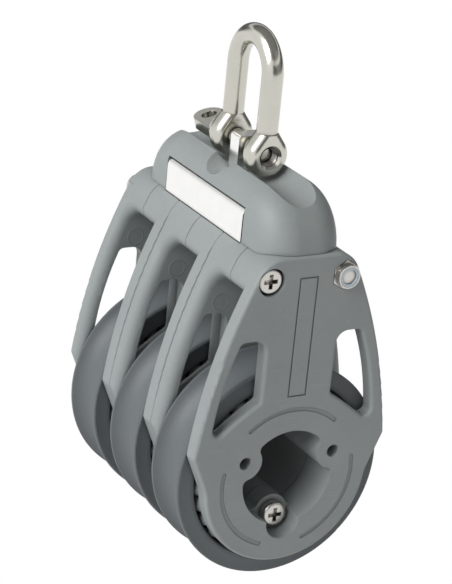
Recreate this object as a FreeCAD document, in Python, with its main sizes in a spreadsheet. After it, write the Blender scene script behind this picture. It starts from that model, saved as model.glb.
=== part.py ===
import FreeCAD, Part
import math
import os

import Sketcher

# Triple block: three ball bearing sheaves side by side between moulded half shells, a moulded head
# with a folded steel strap, a steel post and a D shackle. Millimetres.
# X runs across the block, Y along the axle with the front cheek at -Y, and Z up to the shackle.
# The origin is the centre of the middle sheave.

# Two places count as the same, or as close to each other, within these distances.
SAME = 1e-6
CLOSE = 0.02

os.makedirs("parts", exist_ok=True)
doc = FreeCAD.newDocument("triple_block")

SIZES = [
    ("sheave_diameter", 60.0, "over the flanges"),
    ("sheave_width", 15.2, "flange to flange"),
    ("rope_groove_width", 13.0, "at the rim"),
    ("rope_groove_root", 53.0, "diameter at the bottom of the rope groove"),
    ("rib_bore", 45.5, "bore of the rib between the two ball rows"),
    ("ball_diameter", 4.76, "acetal ball"),
    ("balls_per_row", 29, "balls in one row"),
    ("ball_fit", 0.05, "radial room of a ball against each race"),
    ("ball_side_room", 0.3, "room between a ball row and the cheek or rib beside it"),
    ("sheave_side_room", 0.75, "room between a flange and a cheek"),
    ("hub_race", 40.3, "diameter that the balls run on"),
    ("hub_bore", 26.8, "open middle of the hub"),
    ("cheek_wall", 4.0, "thickness of a cheek"),
    ("cheek_ring", 48.6, "diameter of the lower ring of a cheek"),
    ("shoulder_half_width", 28.75, "widest corner of a cheek"),
    ("shoulder_height", 9.0, "widest corner above the axle"),
    ("shoulder_round", 1.6, "corner radius there"),
    ("waist_height", -1.6, "where the shoulder runs into the ring"),
    ("waist_round", 12.0, "radius of that inside corner"),
    ("flank_half_width", 24.0, "half width of the cheek half way up"),
    ("flank_height", 33.2, "height of that place"),
    ("crown_half_width", 12.5, "top corner of the cheek before rounding"),
    ("crown_height", 62.1, "top of the crown above the axle"),
    ("crown_round", 7.5, "radius of the top corners"),
    ("roof_drop", 10.9, "roof of the rope opening below the crown top"),
    ("portal_height", "=crown_height - roof_drop", "that roof above the axle"),
    ("portal_round", 4.0, "radius in the rear corner of that roof"),
    ("rear_arm_round", 3.0, "rounded inner edge of a rear arm and of the roof beside it"),
    ("outer_edge_round", 0.9, "edge of the outermost faces"),
    ("joint_edge", 0.45, "edge where two modules meet"),
    ("web_half_width", 10.6, "web between the two windows"),
    ("window_top", 40.0, "height of the window tops"),
    ("window_top_reach", 17.6, "outer top corner of a window from the middle"),
    ("window_side_reach", 21.9, "outer side of a window half way down"),
    ("window_side_height", 27.0, "height of that place"),
    ("window_low_reach", 24.0, "outer low corner of a window from the middle"),
    ("window_low_height", 12.4, "outer low corner of a window above the axle"),
    ("window_floor_radius", 24.95, "low edge of a window from the axle"),
    ("window_top_round", 3.4, "inner top corner radius of a window"),
    ("window_side_round", 1.7, "outer corner radii of a window"),
    ("window_web_round", 1.2, "inner low corner radius of a window"),
    ("window_lip_round", 1.0, "rounded rim of a window"),
    ("boss_reach", 13.2, "upper hub bosses from the middle"),
    ("boss_height", 5.8, "upper hub bosses above the axle"),
    ("boss_radius", 4.9, "column round a hub screw"),
    ("boss_blend", 1.8, "hollow between a boss and the hub bore"),
    ("low_boss_depth", 13.0, "lowest hub screw below the axle"),
    ("hub_screw_diameter", 3.5, "shank of a hub screw"),
    ("hub_screw_head", 7.0, "pan head diameter"),
    ("hub_screw_head_height", 2.6, "pan head height"),
    ("hub_screw_sink", 4.1, "top of the head below the cheek face"),
    ("hub_screw_grip", 14.6, "shank length under the head"),
    ("thread_fit", 0.02, "radial room of a thread drawn as a plain shank"),
    ("shank_fit", 0.1, "radial room of a bolt in its hole"),
    ("bolt_reach", 10.9, "long bolts from the middle"),
    ("bolt_drop", 6.1, "long bolts below the crown top"),
    ("bolt_height", "=crown_height - bolt_drop", "long bolts above the axle"),
    ("bolt_diameter", 4.0, "shank of a long bolt"),
    ("bolt_head", 7.2, "head diameter"),
    ("bolt_head_height", 2.6, "head height"),
    ("bolt_head_sink", 0.7, "top of the head below the cheek face"),
    ("bolt_end", 0.5, "bolt end inside the end of the nut"),
    ("cross_width", 1.1, "arm width of the cross recess"),
    ("cross_length", 3.9, "span of the cross recess"),
    ("cross_depth", 1.5, "depth of the cross recess"),
    ("head_edge", 0.8, "rounded edge of the screw heads"),
    ("counterbore_room", 0.2, "radial room round a bolt head"),
    ("nut_flats", 7.0, "across the flats"),
    ("nut_hex_height", 3.2, "hexagon height"),
    ("nut_collar", 6.3, "round collar diameter"),
    ("nut_collar_height", 1.7, "height of the collar over the hexagon"),
    ("nut_sink", 3.0, "nut seat below the cheek face"),
    ("nut_room", 0.1, "room beside the flats in the recess"),
    ("insert_diameter", 5.5, "locking ring outside"),
    ("insert_height", 1.4, "locking ring height"),
    ("frame_half_width", 2.75, "bare rectangular groove on the web"),
    ("frame_low", 23.3, "its lower end above the axle"),
    ("frame_drop", 5.6, "its upper end below the crown top"),
    ("frame_high", "=crown_height - frame_drop", "its upper end above the axle"),
    ("frame_line", 0.4, "line width of the groove"),
    ("mark_depth", 0.3, "depth of the shallow grooves in the outer faces"),
    ("arc_inner", 18.95, "inner radius of the three arc grooves"),
    ("arc_outer", 20.15, "outer radius of the three arc grooves"),
    ("arc_span", 84.0, "degrees that each arc groove covers"),
    ("head_half_length", 36.3, "head from the middle to the foot of its nose"),
    ("head_half_width", 11.7, "half width of the head"),
    ("head_rise", 15.3, "head over the crowns"),
    ("head_top", "=crown_height + head_rise", "top of the head above the axle"),
    ("head_side_round", 9.0, "rounding over the sides and round the corners of the nose"),
    ("head_nose_round", 16.0, "rounding over the nose"),
    ("head_nose_lean", 8.0, "degrees that the nose leans in"),
    ("seat_gap", 0.05, "joint between the head and the crowns"),
    ("ear_room", 1.2, "room round the shackle ears in their channels"),
    ("scoop_radius", "=ear_radius + ear_room", "radius of those channels"),
    ("saddle_depth", 4.8, "hollow between the two lobes below their top"),
    ("saddle_floor", "=head_top - saddle_depth", "bottom of that hollow above the axle"),
    ("saddle_half_width", 4.9, "half its width"),
    ("strap_length", 41.5, "folded strap along the block"),
    ("strap_half_width", 11.8, "outside of the folded sides from the middle"),
    ("strap_sheet", 1.8, "sheet thickness"),
    ("strap_rise", 8.5, "top of the folded sheet over the crowns"),
    ("strap_top", "=crown_height + strap_rise", "top of the folded sheet above the axle"),
    ("strap_bend", 2.6, "outside bend radius"),
    ("knuckle_radius", 3.6, "rolled lower edge round a long bolt"),
    ("knuckle_room", 0.2, "room round the rolled edge in the crowns"),
    ("strap_slit", 0.35, "open joint at the ends of the bare side of the strap"),
    ("strap_slit_depth", 1.4, "depth of that joint"),
    ("post_half_width", 4.0, "half width of the post across the block"),
    ("post_thickness", 4.4, "post along the block"),
    ("post_rise", 2.9, "top of the post over the pin"),
    ("post_top", "=pin_height + post_rise", "top of the post above the axle"),
    ("post_top_round", 0.8, "upper corners of the post"),
    ("post_fit", 0.1, "room round the post in the head and the strap"),
    ("foot_half_width", 7.0, "foot of the post across the block"),
    ("foot_half_length", 7.0, "foot of the post along the block"),
    ("foot_thickness", 3.0, "thickness of the foot under the strap"),
    ("pin_rise", 2.6, "shackle pin over the top of the head"),
    ("pin_height", "=head_top + pin_rise", "shackle pin above the axle"),
    ("pin_diameter", 5.0, "shackle pin"),
    ("pin_running_fit", 0.1, "radial room of the pin in the post and the far ear"),
    ("shackle_bar", 5.7, "bar diameter of the bow"),
    ("shackle_inside", 12.4, "clear width between the legs"),
    ("shackle_reach", 32.5, "pin to the outside of the bow"),
    ("ear_radius", 5.8, "round ear of the shackle"),
    ("ear_thickness", 6.0, "ear along the pin"),
    ("ear_neck", 6.0, "pin to where the neck meets the leg"),
    ("ear_round", 2.1, "rounded edges of the ears"),
    ("ear_mouth", 6.5, "chamfered mouth of the threaded hole"),
    ("pin_collar", 8.6, "collar of the pin against the far ear"),
    ("pin_collar_thickness", 1.4, "thickness of the collar"),
    ("pin_collar_room", 0.05, "joint between the collar and the ear"),
    ("pin_tip_sink", 3.2, "end of the pin inside the near ear"),
    ("eye_length", 11.5, "flat eye of the pin beyond the collar"),
    ("eye_half_width", 4.2, "half width of the eye"),
    ("eye_thickness", 3.0, "thickness of the eye"),
    ("eye_turn", -16.0, "degrees that the eye is turned about the pin from level"),
    ("eye_slot_length", 4.4, "slot in the eye across the pin"),
    ("eye_slot_width", 3.2, "slot in the eye along the pin"),
    ("rim_round", 0.5, "rounded edge of the sheave rims"),
    ("bore_edge", 0.4, "chamfer at the mouth of the sheave bore"),
]


def make_sheet():
    """Writes the sizes into a spreadsheet, one aliased cell each."""
    cells = doc.addObject("Spreadsheet::Sheet", "Sizes")
    for row, (name, value, meaning) in enumerate(SIZES, start=1):
        cells.set("A%d" % row, name)
        cells.set("B%d" % row, str(value))
        cells.set("C%d" % row, meaning)
        cells.setAlias("B%d" % row, name)
    doc.recompute()
    return cells


sheet = make_sheet()


def size(name):
    return float(sheet.get(name))


# Lengths along the axle that follow from the sizes, as formulas for the features.
# A module is one sheave between two half shells, and its middle is the joint of the two.
HALF_MODULE = "(Sizes.cheek_wall + Sizes.sheave_side_room + Sizes.sheave_width / 2)"
PITCH = "(2 * %s)" % HALF_MODULE
BLOCK_END = "(3 * %s)" % HALF_MODULE
POCKET_FLOOR = "(Sizes.hub_screw_sink + Sizes.hub_screw_head_height)"
STRAP_END = "(Sizes.strap_length / 2 + Sizes.knuckle_room)"
ROW_CENTRE = "(%s - Sizes.cheek_wall - Sizes.ball_side_room - Sizes.ball_diameter / 2)" % HALF_MODULE

half_module = size("cheek_wall") + size("sheave_side_room") + size("sheave_width") / 2
block_end = 3 * half_module
cheek_inside = half_module - size("cheek_wall")
row_centre = cheek_inside - size("ball_side_room") - size("ball_diameter") / 2
sheave_race = size("hub_race") / 2 + size("ball_diameter") + 2 * size("ball_fit")
MODULES = (1, 2, 3)


def vec(x, y, z=0.0):
    return FreeCAD.Vector(x, y, z)


def new_body(label):
    body = doc.addObject("PartDesign::Body", label)
    body.Label = label
    return body


def place(body, x="0", y="0", z="0", half_turn=False):
    """Puts a body at its seat, each coordinate a formula of the sizes."""
    if half_turn:
        body.Placement = FreeCAD.Placement(vec(0, 0, 0), FreeCAD.Rotation(vec(0, 0, 1), 180))
    for axis, formula in (("x", x), ("y", y), ("z", z)):
        body.setExpression("Placement.Base." + axis, formula)


def new_sketch(body, name, plane="XZ_Plane", shift="0"):
    """A sketch on one of the body's own planes. On XZ_Plane a positive shift goes to -Y."""
    sketch = body.newObject("Sketcher::SketchObject", name)
    support = [f for f in body.Origin.OriginFeatures if f.Role == plane][0]
    sketch.AttachmentSupport = (support, [""])
    sketch.MapMode = "FlatFace"
    sketch.setExpression("AttachmentOffset.Base.z", shift)
    return sketch


def draw_loop(sketch, start, steps):
    """Closed outline. A step is (end,) for a straight line or (through, end) for an arc."""
    ends = []
    here = vec(*start)
    for step in steps + [(start,)]:
        end = vec(*step[-1])
        if (end - here).Length < SAME:
            continue
        if len(step) == 1:
            geometry = Part.LineSegment(here, end)
        else:
            geometry = Part.Arc(here, vec(*step[0]), end)
        index = sketch.addGeometry(geometry, False)
        first, last = (1, 2) if (sketch.getPoint(index, 1) - here).Length < SAME else (2, 1)
        ends.append((index, first, last))
        here = end
    for (one, _, one_last), (two, two_first, _) in zip(ends, ends[1:] + ends[:1]):
        sketch.addConstraint(Sketcher.Constraint("Coincident", one, one_last, two, two_first))


def draw_circle(sketch, radius, x="0", z="0"):
    """Circle whose centre and radius are formulas of the sizes. It is drawn anywhere and then bound."""
    index = sketch.addGeometry(Part.Circle(vec(1, 1), vec(0, 0, 1), 1), False)
    across = Sketcher.Constraint("DistanceX", -1, 1, index, 3, 1)
    up = Sketcher.Constraint("DistanceY", -1, 1, index, 3, 1)
    round_size = Sketcher.Constraint("Radius", index, 1)
    for constraint, formula in ((across, x), (up, z), (round_size, radius)):
        number = sketch.addConstraint(constraint)
        sketch.setExpression("Constraints[%d]" % number, formula)


def pad(body, sketch, length, flip=False, middle=False):
    """Adds the sketch's outline as a solid. From XZ_Plane it grows to -Y, or to +Y flipped."""
    feature = body.newObject("PartDesign::Pad", "Pad")
    feature.Profile = sketch
    feature.Reversed = flip
    feature.Midplane = middle
    feature.setExpression("Length", length)
    doc.recompute()
    return feature


def pocket(body, sketch, depth, flip=False, middle=False):
    """Cuts the sketch's outline. From XZ_Plane it cuts to +Y, or to -Y flipped."""
    before = body.Shape.Volume
    feature = body.newObject("PartDesign::Pocket", "Pocket")
    feature.Profile = sketch
    feature.Reversed = flip
    feature.Midplane = middle
    feature.setExpression("Length", depth)
    doc.recompute()
    if not body.Shape.Volume < before:
        raise RuntimeError("%s: %s cuts nothing" % (body.Label, sketch.Label))
    return feature


def turn(body, sketch):
    """Turns the sketch once round its upright axis."""
    feature = body.newObject("PartDesign::Revolution", "Turned")
    feature.Profile = sketch
    feature.ReferenceAxis = (sketch, ["V_Axis"])
    feature.Angle = 360
    doc.recompute()
    return feature


def edge_names(shape, chosen):
    return ["Edge%d" % (i + 1) for i, edge in enumerate(shape.Edges) if chosen(edge)]


def round_edges(body, radius, chosen, kind="PartDesign::Fillet"):
    """Rounds, or chamfers, each edge of the body that the test picks."""
    names = edge_names(body.Shape, chosen)
    if not names:
        raise RuntimeError("%s: no edge to round by %s" % (body.Label, radius))
    before = body.Tip
    feature = body.newObject(kind, "Edges")
    feature.Base = (before, names)
    feature.setExpression("Radius" if kind.endswith("Fillet") else "Size", radius)
    doc.recompute()
    if not feature.isValid():
        raise RuntimeError("%s: edges of %s failed" % (body.Label, radius))
    return feature


def runs_along_y(edge):
    """True for a straight edge parallel to the axle."""
    if edge.Curve.TypeId != "Part::GeomLine":
        return False
    return abs(abs(edge.Curve.Direction.y) - 1) < SAME


def at_corner(edge, x, z):
    """True for an edge parallel to the axle that stands at that corner, on either side."""
    if not runs_along_y(edge):
        return False
    foot = edge.Vertexes[0].Point
    return math.hypot(abs(foot.x) - x, foot.z - z) < CLOSE


def outer_face(shape, y):
    """The largest flat face in the plane across the axle at y."""
    flat = []
    for face in shape.Faces:
        box = face.BoundBox
        if abs(box.YMin - y) < SAME and abs(box.YMax - y) < SAME:
            flat.append(face)
    return max(flat, key=lambda face: face.Area)


def rim_of(face):
    """Test for the edges of a face's outside."""
    return lambda edge: any(edge.isSame(other) for other in face.OuterWire.Edges)


def holes_of(face):
    """Test for the edges of the openings in a face."""
    rim = rim_of(face)
    return lambda edge: any(edge.isSame(other) for other in face.Edges) and not rim(edge)


def draw_cheek(sketch):
    """Outline of a cheek: crown, bowed flanks, shoulders and the ring below."""
    top = (size("crown_half_width"), size("crown_height"))
    flank = (size("flank_half_width"), size("flank_height"))
    shoulder = (size("shoulder_half_width"), size("shoulder_height"))
    ring = size("cheek_ring") / 2
    waist = (math.sqrt(ring ** 2 - size("waist_height") ** 2), size("waist_height"))

    def left(point):
        return (-point[0], point[1])

    draw_loop(sketch, left(top), [
        (top,),
        (flank, shoulder),
        (waist,),
        ((0, -ring), left(waist)),
        (left(shoulder),),
        (left(flank), left(top)),
    ])
    return top, shoulder, waist


def draw_windows(sketch):
    """The two windows beside the web, and their corners for rounding."""
    web = size("web_half_width")
    floor = size("window_floor_radius")
    low_web = (web, math.sqrt(floor ** 2 - web ** 2))
    high_web = (web, size("window_top"))
    high_side = (size("window_top_reach"), size("window_top"))
    side = (size("window_side_reach"), size("window_side_height"))
    low_side = (size("window_low_reach"), size("window_low_height"))
    bend = (low_web[0] + low_side[0]) / 2
    sill = (bend, math.sqrt(floor ** 2 - bend ** 2))
    for hand in (1, -1):
        def on(point):
            return (hand * point[0], point[1])
        draw_loop(sketch, on(low_web), [
            (on(high_web),),
            (on(high_side),),
            (on(side), on(low_side)),
            (on(sill), on(low_web)),
        ])
    return low_web, high_web, high_side, low_side


def cut_portal(body, side):
    """Opens the space between the cheek and the joint, below the crown."""
    roof = size("portal_height")
    bottom = -size("sheave_diameter")
    wall = side * cheek_inside
    past = -side * size("cheek_wall")
    corner = size("portal_round")
    sketch = new_sketch(body, "Portal", "YZ_Plane")
    if side < 0:
        draw_loop(sketch, (past, bottom), [((past, roof),), ((wall, roof),), ((wall, bottom),)])
    else:
        slack = corner * (1 - math.sqrt(0.5))
        draw_loop(sketch, (past, bottom), [
            ((past, roof),),
            ((wall - corner, roof),),
            ((wall - slack, roof - slack), (wall, roof - corner)),
            ((wall, bottom),),
        ])
    pocket(body, sketch, "4 * Sizes.shoulder_half_width", middle=True)


def round_roof(body, side):
    """Rounds the outer edge of the portal roof, and on a rear half the inner edge of its arm."""
    roof = size("portal_height")
    shoulder = size("shoulder_height")

    def chosen(edge):
        box = edge.BoundBox
        if min(abs(box.XMin), abs(box.XMax)) < size("crown_half_width"):
            return False
        if side < 0:
            return runs_along_y(edge) and abs(box.ZMin - roof) < SAME
        inside_wall = box.YMin > -SAME and SAME < box.YMax < cheek_inside + SAME
        above_shoulder = box.ZMin > shoulder - CLOSE and box.ZMax > shoulder + CLOSE
        return inside_wall and above_shoulder and box.ZMax < roof + SAME

    round_edges(body, "Sizes.rear_arm_round", chosen)


def add_hub(body, side):
    """Half of the hub: the ball race, the open bore and three screw bosses."""
    race = new_sketch(body, "HubRace")
    draw_circle(race, "Sizes.hub_race / 2")
    pad(body, race, HALF_MODULE, flip=side > 0)
    bore = new_sketch(body, "HubBore", shift="%d * Sizes.cheek_wall" % side)
    draw_circle(bore, "Sizes.hub_bore / 2")
    pocket(body, bore, "2 * " + HALF_MODULE, flip=side < 0)
    upper = [("Sizes.boss_reach", "Sizes.boss_height"), ("-Sizes.boss_reach", "Sizes.boss_height")]
    low = [("0", "-Sizes.low_boss_depth")]
    with_heads, with_threads = (low, upper) if side < 0 else (upper, low)
    columns = new_sketch(body, "Bosses")
    for x, z in with_threads:
        draw_circle(columns, "Sizes.boss_radius", x, z)
    pad(body, columns, HALF_MODULE, flip=side > 0)
    stubs = new_sketch(body, "HeadBosses")
    for x, z in with_heads:
        draw_circle(stubs, "Sizes.boss_radius", x, z)
    pad(body, stubs, HALF_MODULE + " - " + POCKET_FLOOR, flip=side > 0)
    bore_radius = size("hub_bore") / 2

    def beside_boss(edge):
        if not runs_along_y(edge):
            return False
        foot = edge.Vertexes[0].Point
        return abs(math.hypot(foot.x, foot.z) - bore_radius) < CLOSE

    round_edges(body, "Sizes.boss_blend", beside_boss)
    face = "(%s)" % HALF_MODULE if side < 0 else "(-%s)" % HALF_MODULE
    heads = new_sketch(body, "HeadPockets", shift=face)
    for x, z in with_heads:
        draw_circle(heads, "Sizes.boss_radius + Sizes.thread_fit", x, z)
    pocket(body, heads, POCKET_FLOOR, flip=side > 0)
    shanks = new_sketch(body, "ShankHoles", shift=face)
    for x, z in with_heads:
        draw_circle(shanks, "Sizes.hub_screw_diameter / 2 + Sizes.shank_fit", x, z)
    for x, z in with_threads:
        draw_circle(shanks, "Sizes.hub_screw_diameter / 2 + Sizes.thread_fit", x, z)
    pocket(body, shanks, "2 * " + HALF_MODULE, flip=side > 0)


def cut_bolt_holes(body, side):
    holes = new_sketch(body, "BoltHoles", shift=HALF_MODULE + " * %d" % (1 if side < 0 else -1))
    for x in ("Sizes.bolt_reach", "-Sizes.bolt_reach"):
        draw_circle(holes, "Sizes.bolt_diameter / 2 + Sizes.shank_fit", x, "Sizes.bolt_height")
    pocket(body, holes, "2 * " + HALF_MODULE, flip=side > 0)


def cut_strap_room(body, side, module):
    """Room in the crown for the strap's folded sides and rolled edges."""
    if (module, side) in ((1, -1), (3, 1)):
        return
    depth = HALF_MODULE if module == 2 else "(%s - %s)" % (STRAP_END, HALF_MODULE)
    shift = HALF_MODULE + " * %d" % (1 if side < 0 else -1)
    rolls = new_sketch(body, "KnuckleRoom", shift=shift)
    for x in ("Sizes.bolt_reach", "-Sizes.bolt_reach"):
        draw_circle(rolls, "Sizes.knuckle_radius + Sizes.knuckle_room", x, "Sizes.bolt_height")
    pocket(body, rolls, depth, flip=side > 0)
    slots = new_sketch(body, "StrapSlots", shift=shift)
    room = size("knuckle_room")
    inner = size("strap_half_width") - size("strap_sheet") - room
    outer = size("strap_half_width") + room
    low = size("bolt_height")
    high = size("crown_height") + room
    for hand in (1, -1):
        draw_loop(slots, (hand * inner, low), [
            ((hand * outer, low),), ((hand * outer, high),), ((hand * inner, high),)])
    pocket(body, slots, depth, flip=side > 0)


def hexagon(flats):
    """Corners of a hexagon with a corner straight up, from its width across the flats."""
    reach = flats / math.sqrt(3)
    turns = [math.radians(60 * k) for k in range(6)]
    return [(reach * math.sin(turn), reach * math.cos(turn)) for turn in turns]


def cut_fastener_seats(body, side):
    """Round seat for a bolt head and six-sided seat for a nut in an outermost face."""
    shift = HALF_MODULE + " * %d" % (1 if side < 0 else -1)
    round_seat = new_sketch(body, "HeadSeat", shift=shift)
    head_x = "-Sizes.bolt_reach" if side < 0 else "Sizes.bolt_reach"
    draw_circle(round_seat, "Sizes.bolt_head / 2 + Sizes.counterbore_room", head_x, "Sizes.bolt_height")
    pocket(body, round_seat, "Sizes.bolt_head_height + Sizes.bolt_head_sink", flip=side > 0)
    nut_x = -side * size("bolt_reach")
    nut_z = size("bolt_height")
    corners = [(nut_x + x, nut_z + z) for x, z in hexagon(size("nut_flats") + 2 * size("nut_room"))]
    hex_seat = new_sketch(body, "NutSeat", shift=shift)
    draw_loop(hex_seat, corners[0], [(corner,) for corner in corners[1:]])
    pocket(body, hex_seat, "Sizes.nut_sink", flip=side > 0)


def polar(radius, degrees):
    return (radius * math.cos(math.radians(degrees)), radius * math.sin(math.radians(degrees)))


def cut_face_marks(body, side):
    """Shallow rectangular line on the web and three shallow arcs round the hub."""
    shift = HALF_MODULE + " * %d" % (1 if side < 0 else -1)
    frame = new_sketch(body, "Frame", shift=shift)
    for inset in (0.0, size("frame_line")):
        wide = size("frame_half_width") - inset
        low = size("frame_low") + inset
        high = size("frame_high") - inset
        draw_loop(frame, (-wide, low), [((wide, low),), ((wide, high),), ((-wide, high),)])
    pocket(body, frame, "Sizes.mark_depth", flip=side > 0)
    arcs = new_sketch(body, "ArcGrooves", shift=shift)
    inner = size("arc_inner")
    outer = size("arc_outer")
    middle = (inner + outer) / 2
    end_turn = math.degrees((outer - inner) / 2 / middle)
    for centre in (90, 210, 330):
        first = centre - size("arc_span") / 2 + end_turn
        last = centre + size("arc_span") / 2 - end_turn
        draw_loop(arcs, polar(inner, first), [
            (polar(inner, centre), polar(inner, last)),
            (polar(middle, last + end_turn), polar(outer, last)),
            (polar(outer, centre), polar(outer, first)),
            (polar(middle, first - end_turn), polar(inner, first)),
        ])
    pocket(body, arcs, "Sizes.mark_depth", flip=side > 0)


def make_half_shell(module, side):
    """One moulded half of a module: cheek, half crown and half hub. Side -1 is the front."""
    body = new_body("%s_shell_%d" % ("front" if side < 0 else "rear", module))
    outermost = (module, side) in ((1, -1), (3, 1))
    outline = new_sketch(body, "Cheek")
    top, shoulder, waist = draw_cheek(outline)
    pad(body, outline, HALF_MODULE, flip=side > 0)
    round_edges(body, "Sizes.crown_round", lambda edge: at_corner(edge, *top))
    round_edges(body, "Sizes.waist_round", lambda edge: at_corner(edge, *waist))
    cut_portal(body, side)
    round_roof(body, side)
    round_edges(body, "Sizes.shoulder_round", lambda edge: at_corner(edge, *shoulder))
    windows = new_sketch(body, "Windows", shift=HALF_MODULE + " * %d" % (1 if side < 0 else -1))
    low_web, high_web, high_side, low_side = draw_windows(windows)
    pocket(body, windows, "Sizes.cheek_wall + Sizes.sheave_side_room", flip=side > 0)
    round_edges(body, "Sizes.window_top_round", lambda edge: at_corner(edge, *high_web))
    round_edges(body, "Sizes.window_side_round",
                lambda edge: at_corner(edge, *high_side) or at_corner(edge, *low_side))
    round_edges(body, "Sizes.window_web_round", lambda edge: at_corner(edge, *low_web))
    face = outer_face(body.Shape, side * half_module)
    round_edges(body, "Sizes.window_lip_round", holes_of(face))
    face = outer_face(body.Shape, side * half_module)
    edge_size = "Sizes.outer_edge_round" if outermost else "Sizes.joint_edge"
    round_edges(body, edge_size, rim_of(face))
    add_hub(body, side)
    cut_bolt_holes(body, side)
    cut_strap_room(body, side, module)
    if outermost:
        cut_fastener_seats(body, side)
        cut_face_marks(body, side)
    place(body, y="%d * %s" % (module - 2, PITCH))
    return body


def make_sheave(module):
    """A wheel with a round rope groove and a rib between its two ball races."""
    body = new_body("sheave_%d" % module)
    half = size("sheave_width") / 2
    rim = size("sheave_diameter") / 2
    lip = size("rim_round")
    slack = lip * (1 - math.sqrt(0.5))
    groove = size("rope_groove_width") / 2
    edge = size("bore_edge")
    rib = row_centre - size("ball_diameter") / 2 - size("ball_side_room")
    rib_radius = size("rib_bore") / 2
    section = new_sketch(body, "Section", "XY_Plane")
    draw_loop(section, (sheave_race + edge, -half), [
        ((rim - lip, -half),),
        ((rim - slack, slack - half), (rim, lip - half)),
        ((rim, -groove),),
        ((size("rope_groove_root") / 2, 0), (rim, groove)),
        ((rim, half - lip),),
        ((rim - slack, half - slack), (rim - lip, half)),
        ((sheave_race + edge, half),),
        ((sheave_race, half - edge),),
        ((sheave_race, rib),),
        ((rib_radius, rib),),
        ((rib_radius, -rib),),
        ((sheave_race, -rib),),
        ((sheave_race, edge - half),),
    ])
    turn(body, section)
    place(body, y="%d * %s" % (module - 2, PITCH))
    return body


def make_ball_row(module, side):
    """A ring of loose balls, each a solid of its own."""
    body = new_body("balls_%s_%d" % ("front" if side < 0 else "rear", module))
    body.AllowCompound = True
    radius = size("ball_diameter") / 2
    reach = size("hub_race") / 2 + size("ball_fit") + radius
    half_disc = new_sketch(body, "Ball", "XY_Plane")
    draw_loop(half_disc, (reach - radius, 0), [((reach, radius), (reach + radius, 0))])
    ball = body.newObject("PartDesign::Revolution", "Ball")
    ball.Profile = half_disc
    ball.ReferenceAxis = (half_disc, ["H_Axis"])
    ball.Angle = 360
    doc.recompute()
    ring = body.newObject("PartDesign::PolarPattern", "Ring")
    ring.Originals = [ball]
    ring.Axis = (half_disc, ["V_Axis"])
    ring.Angle = 360
    ring.setExpression("Occurrences", "Sizes.balls_per_row")
    body.Tip = ring
    doc.recompute()
    place(body, y="%d * %s + %d * %s" % (module - 2, PITCH, side, ROW_CENTRE))
    return body


def make_screw(label, diameter, head, head_height, length):
    """A pan head screw along the axle, its seat at the body's origin and its head at -Y."""
    body = new_body(label)
    bend = size("head_edge")
    slack = bend * (1 - math.sqrt(0.5))
    section = new_sketch(body, "Section", "XY_Plane")
    draw_loop(section, (0, -head_height), [
        ((head / 2 - bend, -head_height),),
        ((head / 2 - slack, slack - head_height), (head / 2, bend - head_height)),
        ((head / 2, 0),),
        ((diameter / 2, 0),),
        ((diameter / 2, length),),
        ((0, length),),
    ])
    turn(body, section)
    cross = new_sketch(body, "Cross", shift=str(head_height))
    arm = size("cross_width") / 2
    end = size("cross_length") / 2
    draw_loop(cross, (-arm, -end), [
        ((arm, -end),), ((arm, -arm),), ((end, -arm),), ((end, arm),), ((arm, arm),), ((arm, end),),
        ((-arm, end),), ((-arm, arm),), ((-end, arm),), ((-end, -arm),), ((-arm, -arm),)])
    pocket(body, cross, "Sizes.cross_depth")
    return body


def make_hub_screws(module):
    """Three screws that hold a module together: the low one from the front, two from the rear."""
    seats = [("0", "-Sizes.low_boss_depth", -1)]
    seats += [(x, "Sizes.boss_height", 1) for x in ("Sizes.boss_reach", "-Sizes.boss_reach")]
    screws = []
    for x, z, side in seats:
        screw = make_screw("hub_screw_%d_%d" % (module, len(screws) + 1), size("hub_screw_diameter"),
                           size("hub_screw_head"), size("hub_screw_head_height"), size("hub_screw_grip"))
        seat = "%d * %s + %d * (%s - %s)" % (module - 2, PITCH, side, HALF_MODULE, POCKET_FLOOR)
        place(screw, x, seat, z, half_turn=side > 0)
        screws.append(screw)
    group = doc.addObject("Part::Compound", "hub_screws_%d" % module)
    group.Label = "hub_screws_%d" % module
    group.Links = screws
    return group


def make_long_bolt(label, side):
    """A pan head bolt through all three modules. Side -1 has its head at the front and at -X."""
    sink = size("bolt_head_sink") + size("bolt_head_height")
    nut_end = size("nut_hex_height") + size("nut_collar_height") - size("nut_sink")
    length = 2 * block_end - sink + nut_end - size("bolt_end")
    body = make_screw(label, size("bolt_diameter"), size("bolt_head"), size("bolt_head_height"), length)
    seat = "%d * (%s - Sizes.bolt_head_sink - Sizes.bolt_head_height)" % (side, BLOCK_END)
    place(body, "%d * Sizes.bolt_reach" % side, seat, "Sizes.bolt_height", half_turn=side > 0)
    return body


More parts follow.
